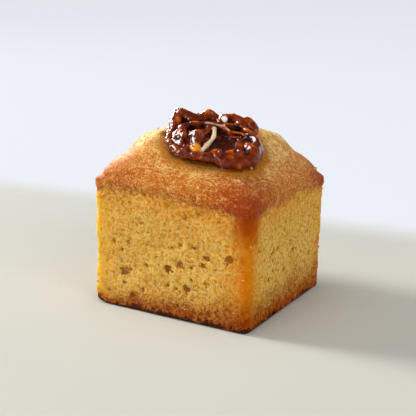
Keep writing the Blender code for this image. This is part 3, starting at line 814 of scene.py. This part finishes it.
def makeCake(look, nutMesh):
    # a cube with a fine grid, whose base has one flat face in the middle
    bm = bmesh.new()
    bmesh.ops.create_cube(bm, size=2.0)
    bmesh.ops.subdivide_edges(bm, edges=bm.edges[:], cuts=look["cells"] - 1, use_grid_fill=True)
    flatPart = 1.0 - 2.0 * look["baseRings"] / look["cells"]
    middle = [
        face for face in bm.faces
        if (c := face.calc_center_median()).z < -look["faceAt"] and max(abs(c.x), abs(c.y)) < flatPart
    ]
    bmesh.ops.dissolve_faces(bm, faces=middle, use_verts=True)
    mesh = meshFrom(bm, "cake")
    cube = placesOf(mesh)
    onTop, onBase = cube[:, 2] > look["faceAt"], cube[:, 2] < -look["faceAt"]
    onSide = ~onTop & ~onBase

    # bent to the cake's smooth form
    half = look["side"] / 2
    x, y, inset, outX, outY = outlinePlace(cube[:, 0] * half, cube[:, 1] * half, look)
    crown = domeHeight(x, y, look)
    height = (cube[:, 2] + 1.0) / 2.0 * crown
    drop = crown - height
    rimInset, rimDrop = roundOver(inset, drop, look["rimRound"])
    baseInset, baseHeight = roundOver(inset, height, look["baseRound"])
    nearRim = onTop | (drop < look["rimRound"])
    newInset = np.where(nearRim, rimInset, baseInset)
    height = np.where(nearRim, crown - rimDrop, baseHeight)
    x, y = x + outX * (inset - newInset), y + outY * (inset - newInset)
    places = np.stack([x, y, height], 1)

    # the sides: lip, waves, bubbles and pores
    swirlLength, swirlHeight = look["swirl"]
    noise.seed_set(look["seed"])  # without it each run would stir the pores another way
    warp = np.array([noise.noise_vector(Vector(p)) for p in places / swirlLength]) * swirlHeight
    (rimStart, rimFade), (baseStart, baseFade) = look["openCrumb"]
    openCrumb = onSide * ramp((drop - rimStart) / rimFade) * ramp((height - baseStart) / baseFade)
    hollow = hollowsAt(places, warp, openCrumb, look)
    push = look["lipOut"] * fadesBeyond(drop, look["lipDeep"], look["lipFade"])
    push = push + layered(places, look["waves"]) * ramp(height / look["wavesFrom"])
    push = push - hollow + layered(places, look["crumbGrain"])
    wavyEdge = ramp(1.0 - (half - np.minimum(np.abs(x), np.abs(y))) / look["edgeWavesReach"])
    push = push + wavyEdge * layered(places, look["edgeWaves"])
    push = np.where(onSide, push, 0.0)

    # the crust, the walnut's dip and the lifted corner
    lift = layered(places, look["crustWaves"] + look["crustGrain"])
    lift = np.where(onTop, lift * ramp(newInset / look["crustWavesFrom"]), 0.0)
    places += np.stack([outX * push, outY * push, lift], 1)
    nutAway = pressWalnut(places, onTop, nutMesh, look)
    cornerX, cornerY = (sign * half for sign in look["liftedCorner"])
    liftBy, liftReach = look["cornerLift"]
    fromCorner = np.sqrt((x - cornerX) ** 2 + (y - cornerY) ** 2 + height**2)
    places[:, 2] += liftBy * ramp(1.0 - fromCorner / liftReach)
    mesh.vertices.foreach_set("co", places.ravel())
    mesh.update()

    storeMask(mesh, "hollow", hollow / look["hollowFull"])
    for name, values in cakeMasks(places, x, y, height, drop, onTop, onBase, nutAway, look).items():
        storeMask(mesh, name, values)
    return mesh, nutAway


def cakeFinish(look):
    finish = Finish("butter cake", look["shader"])
    spread = finish.spread
    edge, deep, glow, warm, base, foot, skin, shoulder, corner, hollow, nut = finish.masks(
        "edge deep glow warm base foot skin shoulder corner hollow nut"
    )
    cloudy, coarse, fluffy, dimpled, grainy, fine, sparks = (
        finish.grain(*look[name]) for name in "cloudy coarse fluffy dimpled grainy fine sparks".split()
    )
    cellSize, swirlSize, swirlStrength = look["foamCells"]
    cells = finish.cellWalls(cellSize, finish.stirred(swirlSize, swirlStrength))
    foam = spread(fluffy + (cells - 0.4) * 0.10 + (grainy - 0.5) * 0.45, 0.38, 0.60)
    speck = spread(fluffy * 0.5 + grainy * 0.5, 0.36, 0.62)

    def mottled(mask, name):
        strength, byFoam, byNoise = look[name]
        return (mask * (strength + (0.5 - foam) * byFoam + (coarse - 0.5) * byNoise)).limited()

    # open crumb: pale foam round small golden hollows, with olive grains, painted shade in pores and dimples,
    # and beige grains as painted highlights
    openPart = (1.0 - edge * 0.9 - deep - base * 1.2 - foot).limited()
    speckHighlights = spread(fine + (grainy - 0.5) * 0.8, 0.53, 0.70)
    crumb = finish.layers(finish.blend(foam, look["crumbGold"], look["crumbPale"]), look, (
        (spread(cloudy, 0.42, 0.66) * 0.3, "crumbGold"),
        (spread(sparks, 0.52, 0.36) * 0.45, "crumbOlive"),
        # darker patches: painted shade of shallow dimples, less on pale foam
        (spread(dimpled, 0.60, 0.74) * (1.15 - foam) * 0.9, "crumbDimpleShade"),
        # painted shade in the pores and burst bubbles, strongest in the deepest hollows
        (spread(hollow + (0.5 - fluffy), 0.3, 0.8) * 0.9, "pitShade"),
        # browned towards the rim, the upright edges and the base, and a painted glow of light through the
        # left edge
        (mottled(warm, "warmMottle"), "warmOchre"),
        (mottled(edge, "edgeMottle"), "edgeOrange"),
        (mottled(glow, "glowMottle"), "glowGold"),
        (spread(deep + (coarse - 0.5) * 0.5, 0.1, 1.0), "edgeDeep"),
        (mottled(base, "baseMottle"), "baseBrown"),
        (spread(foot + (0.5 - foam) * 0.5, 0.3, 0.8), "footDark"),
        # beige grains: painted highlights on the open crumb
        (speckHighlights * openPart * 0.5, "crumbSpeckHighlight"),
    ))

    # baked skin: golden mound, orange-brown shoulders, red-brown corners, with painted highlights on pale
    # flecks, painted shade in small pores, and syrup tint with painted shade round the walnut
    browned = shoulder + (coarse - 0.5) * 0.7 + (cloudy - 0.5) * 0.6 + (0.5 - speck) * 0.45
    darkened = corner + (coarse - 0.5) * 0.5 + (0.5 - speck) * 0.35
    # pale flecks: painted highlights on the crust, fewer at the corners
    highlightFlecks = spread(fine + (grainy - 0.5) * 0.6, 0.53, 0.70)
    crust = finish.layers(finish.blend(speck, look["crustGold"], look["moundPale"]), look, (
        (spread(browned, 0.2, 1.1), "crustBrown"),
        (spread(darkened, 0.12, 1.0), "crustDark"),
        # darker pores: painted shade in small holes of the crust
        (spread(fluffy + (fine - 0.5) * 0.6, 0.48, 0.34) * 0.5, "crustPoreShade"),
        (highlightFlecks * (0.6 - corner * 0.5), "crustHighlightFleck"),
        # round the walnut: syrup tint with painted shade, and a dark crevice line of syrup stain and painted
        # shade
        (spread(nut, -0.1, 0.7) * 0.85, "syrupTintAndShade"),
        (spread(nut + (coarse - 0.5) * 0.2, 0.86, 1.0) * 0.8, "syrupStainAndCreviceShade"),
    ))

    isCrust = spread(skin + (coarse - 0.5) * 0.4 + (0.5 - foam) * 0.2, 0.1, 1.0)
    glints = spread(sparks + (grainy - 0.5) * 0.3, 0.50, 0.58) * skin
    relief = fluffy + cells * 0.12 + grainy * 0.5 + fine * 0.5
    return finish.feed(
        Base_Color=finish.blend(isCrust, crumb, crust),
        Roughness=spread(glints, 0.2, 0.8, *look["roughness"]),
        Metallic=glints * look["glintMetallic"],
        Normal=finish.bump(relief, 1.0, look["reliefHeight"]),
    )


cakeMesh, nutAway = makeCake(cakeLook, walnutMesh)
showPiece("butter_cake_crumb", cakeMesh, cakeFinish(cakeLook), "crumb", "cake")


# Syrup that has run off the walnut, and crumbs that cling to the cake

syrupLook = {
    "voxel": 0.12 * mm,
    "smoothing": 3,
    "seed": 11,
    # beads on the walnut's left end, with sizes and places in mm
    "beads": 90,
    "beadSize": (0.40, 0.95),
    "beadHeight": 0.8,  # this and the next are shares of its size
    "beadSunk": 0.3,
    "beadSide": (-0.72, -0.64, 0.25),  # the way that beaded places face
    "beadFacing": 0.4,  # and how squarely they do at least
    "beadEnd": -4.5,  # they lie left of this place along the walnut
    # drops in the crevice round the walnut's foot
    "pool": 420,
    "poolGap": (0.05 * mm, 0.50 * mm),
    "poolSize": (0.35, 0.60),
    "poolHeight": 0.6,
    "shader": {
        "Coat Weight": 1.0, "Coat Roughness": 0.04, "Coat IOR": 1.5, "Specular IOR Level": 0.05,
        **softInside(0.5, (1.0, 0.35, 0.08), 1.5 * mm),
    },
    "clouds": (1.6 * mm, 3.0, 0.6),
    "film": 0.5 * mm,
    "roughness": (0.2, 0.4),
    "syrup": (150, 62, 14),
    "syrupDark": (84, 30, 6),
}
crumbLook = {
    "voxel": 0.14 * mm,
    "smoothing": 2,
    "seed": 5,
    "count": 46,
    "size": (0.22, 0.50),  # in mm
    "lumps": 3,  # balls in each crumb; the next three are shares of its size
    "lumpShift": 0.6,
    "lumpRadii": (0.5, 0.9),
    "standOut": 0.3,
    "lowest": 1.0 * mm,
    "steepest": -0.2,  # they cling to places that face up at least this much
    # crumbs at the right corner and low on the right side: places and radii in mm
    "placed": (
        (25.6, 22.0, 39.6, 0.55), (25.7, 21.0, 38.8, 0.45), (25.7, 19.8, 39.6, 0.40),
        (25.6, -16.0, 8.25, 0.5), (25.6, -15.2, 7.8, 0.35), (25.6, -12.5, 5.0, 0.45), (25.6, -11.8, 5.5, 0.3),
    ),
    "placedShape": (1.0, 0.8, 0.9),
    "shader": {"Specular IOR Level": 0.3, **softInside(0.4, (1.0, 0.4, 0.1), 1.0 * mm)},
    "grain": (0.6 * mm, 3.0, 0.7),
    "grainBump": (0.6, 0.15 * mm),  # strength and height
    "roughness": (0.5, 0.85),
    "pale": (240, 190, 100),
    "brown": (204, 110, 26),
}


def makeSyrup(look, nutMesh, cakePlaces, gaps):
    chance = random.Random(look["seed"])
    toFlat = nutPlace(walnutLook).inverted()
    places, normals = placesOf(nutMesh), normalsOf(nutMesh)
    along = (places @ np.array(toFlat.to_3x3())[0] + toFlat.translation.x) / mm
    facing = normals @ np.array(look["beadSide"])
    beaded = (along < look["beadEnd"]) & (facing > look["beadFacing"])
    balls = []
    for index in drawn(chance, beaded, look["beads"]):
        size = chance.uniform(*look["beadSize"])
        centre = (places[index] - normals[index] * size * look["beadSunk"] * mm) / mm
        balls.append((centre, (size, size, size * look["beadHeight"])))
    low, high = look["poolGap"]
    for index in drawn(chance, (gaps > low) & (gaps < high), look["pool"]):
        size = chance.uniform(*look["poolSize"])
        balls.append((cakePlaces[index] / mm, (size, size, size * look["poolHeight"])))
    bm = bmesh.new()
    addBalls(bm, balls)
    return meshFrom(fuse(bm, look["voxel"], look["smoothing"], keepScraps=True), "syrup")


def makeCrumbs(look, mesh):
    chance = random.Random(look["seed"])
    places, normals = placesOf(mesh), normalsOf(mesh)
    clinging = (places[:, 2] > look["lowest"]) & (normals[:, 2] > look["steepest"])
    shift = look["lumpShift"]
    balls = []
    for index in drawn(chance, clinging, look["count"]):
        size = chance.uniform(*look["size"])
        for _ in range(look["lumps"]):
            away = Vector([chance.uniform(-shift, shift) * size for _ in range(3)])
            centre = Vector(places[index] / mm) + away + Vector(normals[index]) * size * look["standOut"]
            balls.append((centre, [size * chance.uniform(*look["lumpRadii"]) for _ in range(3)]))
    tree = treeOf(mesh)
    for x, y, z, size in look["placed"]:
        centre = tree.find_nearest(Vector((x, y, z)) * mm)[0] / mm
        balls.append((centre, [size * share for share in look["placedShape"]]))
    bm = bmesh.new()
    addBalls(bm, balls, subdivisions=2)
    return meshFrom(fuse(bm, look["voxel"], look["smoothing"], keepScraps=True), "crumbs")


def syrupFinish(look):
    finish = Finish("walnut syrup", look["shader"])
    clouds = finish.spread(finish.grain(*look["clouds"]), 0.35, 0.65)
    return finish.feed(
        Base_Color=finish.blend(clouds, look["syrupDark"], look["syrup"]),
        Roughness=finish.spread(finish.grain(look["film"]), 0.3, 0.7, *look["roughness"]),
    )


def crumbsFinish(look):
    finish = Finish("clinging crumbs", look["shader"])
    grain = finish.grain(*look["grain"])
    return finish.feed(
        Base_Color=finish.blend(finish.spread(grain, 0.35, 0.65), look["brown"], look["pale"]),
        Roughness=finish.spread(grain, 0.3, 0.7, *look["roughness"]),
        Normal=finish.bump(grain, *look["grainBump"]),
    )


syrupMesh = makeSyrup(syrupLook, walnutMesh, placesOf(cakeMesh), nutAway)
showPiece("walnut_syrup", syrupMesh, syrupFinish(syrupLook), "glazed_nut")
showPiece("clinging_crumbs", makeCrumbs(crumbLook, cakeMesh), crumbsFinish(crumbLook), "crumb")


# Floor, light and camera

stageLook = {
    "floorSize": 24.0,
    "floorShader": {"Roughness": 0.6, "Specular IOR Level": 0.0, "Emission Strength": 1.0},
    "floorNear": (193, 193, 186),
    "floorFar": (80, 82, 86),
    "farGlow": (224, 227, 233),
    "farLine": (-0.117, 0.993, 0.0),  # the way across the floor in which its tone changes
    "farStart": (78 * mm, 112 * mm),
    "world": (236, 239, 245),
    "ceiling": 0.10,  # the room's light from above, and from its walls away from and near the window
    "wallDim": 0.08,
    "wallBright": 1.65,
    "ceilingStart": (0.22, 0.60),
    "windowWay": (-0.75, 0.66, 0.0),
    "windowSpread": (-0.9, 0.5),
    "lampAim": (0.0, 0.0, 0.02),
    "lamps": {
        # place, size, power, colour, and whether it lights surfaces and shows in their gloss
        "window": ((-1.13, -0.16, 0.70), 0.40, 18.4, (1.0, 0.985, 0.96), True, False),
        "window_glint": ((-0.98, -0.50, 0.72), 0.85, 50.0, (1.0, 0.99, 0.98), False, True),
        "window_back": ((-0.98, 0.72, 0.46), 0.60, 34.0, (1.0, 0.99, 0.97), False, True),
        "ceiling": ((0.0, -0.2, 1.6), 2.0, 12.0, (1.0, 0.99, 0.97), True, False),
        "front": ((-0.146, -0.767, 0.35), 0.50, 1.1, (1.0, 0.99, 0.97), True, True),
        "right": ((0.95, -0.45, 0.60), 0.90, 5.8, (1.0, 0.94, 0.86), True, False),
    },
}
cameraLook = {
    "azimuth": math.radians(29.03),
    "elevation": math.radians(14.39),
    "roll": math.radians(1.27),
    "distance": 270.95 * mm,
    "aimRight": -1.35 * mm,
    "aimHeight": 26.84 * mm,
    "focalPixels": 900.0,
    "imagePixels": 416.0,
    "sensor": 36.0,
    "clipStart": 0.01,
}


def makeFloor(look):
    bm = bmesh.new()
    bmesh.ops.create_grid(bm, x_segments=8, y_segments=8, size=look["floorSize"] / 2)
    mesh = meshFrom(bm, "floor")
    finish = Finish("pale floor", look["floorShader"])
    far = finish.spread(finish.along(finish.place, look["farLine"]), *look["farStart"])
    mesh.materials.append(finish.feed(
        Base_Color=finish.blend(far, look["floorNear"], look["floorFar"]),
        Emission_Color=finish.blend(far, (0, 0, 0), look["farGlow"]),
    ))
    floor = bpy.data.objects.new("floor", mesh)
    bpy.context.scene.collection.objects.link(floor)


def makeLights(look):
    world = bpy.data.worlds.new("soft room")
    bpy.context.scene.world = world
    world.use_nodes = True
    bench = Bench(world.node_tree)
    way = bench.node("ShaderNodeTexCoord", output="Generated")
    wall = bench.spread(bench.along(way, (0.0, 0.0, 1.0)), *look["ceilingStart"], 1.0, 0.0)
    towardsWindow = bench.spread(bench.along(way, look["windowWay"]), *look["windowSpread"])
    walls = look["wallDim"] + towardsWindow * (look["wallBright"] - look["wallDim"])
    background = world.node_tree.nodes["Background"]
    background.inputs["Color"].default_value = fromScreen(look["world"])
    plugIn(background.inputs["Strength"], look["ceiling"] + wall * walls)
    for name, (place, size, power, colour, lightsSurfaces, showsInGloss) in look["lamps"].items():
        lamp = bpy.data.lights.new(name, "AREA")
        lamp.shape = "DISK"
        lamp.size = size
        lamp.energy = power
        lamp.color = colour
        item = bpy.data.objects.new(lamp.name, lamp)
        item.location = place
        item.visible_diffuse = lightsSurfaces
        item.visible_glossy = showsInGloss
        item.rotation_euler = (Vector(look["lampAim"]) - Vector(place)).to_track_quat("-Z", "Y").to_euler()
        bpy.context.scene.collection.objects.link(item)


def makeCamera(look):
    a, e = look["azimuth"], look["elevation"]
    back = Vector((math.sin(a) * math.cos(e), -math.cos(a) * math.cos(e), math.sin(e)))
    right = Vector((math.cos(a), math.sin(a), 0.0))
    up = back.cross(right)
    rolledRight = right * math.cos(look["roll"]) + up * math.sin(look["roll"])
    rolledUp = up * math.cos(look["roll"]) - right * math.sin(look["roll"])
    aim = right * look["aimRight"] + Vector((0.0, 0.0, look["aimHeight"]))
    camera = bpy.data.objects.new("camera", bpy.data.cameras.new("camera"))
    camera.data.lens = look["focalPixels"] / look["imagePixels"] * look["sensor"]
    camera.data.sensor_width = look["sensor"]
    camera.data.clip_start = look["clipStart"]
    turn = Matrix((rolledRight, rolledUp, back)).transposed()
    camera.matrix_world = Matrix.Translation(aim + back * look["distance"]) @ turn.to_4x4()
    bpy.context.scene.collection.objects.link(camera)
    bpy.context.scene.camera = camera


makeFloor(stageLook)
makeLights(stageLook)
makeCamera(cameraLook)
bpy.context.scene.view_settings.view_transform = "Standard"
print("stage ready")
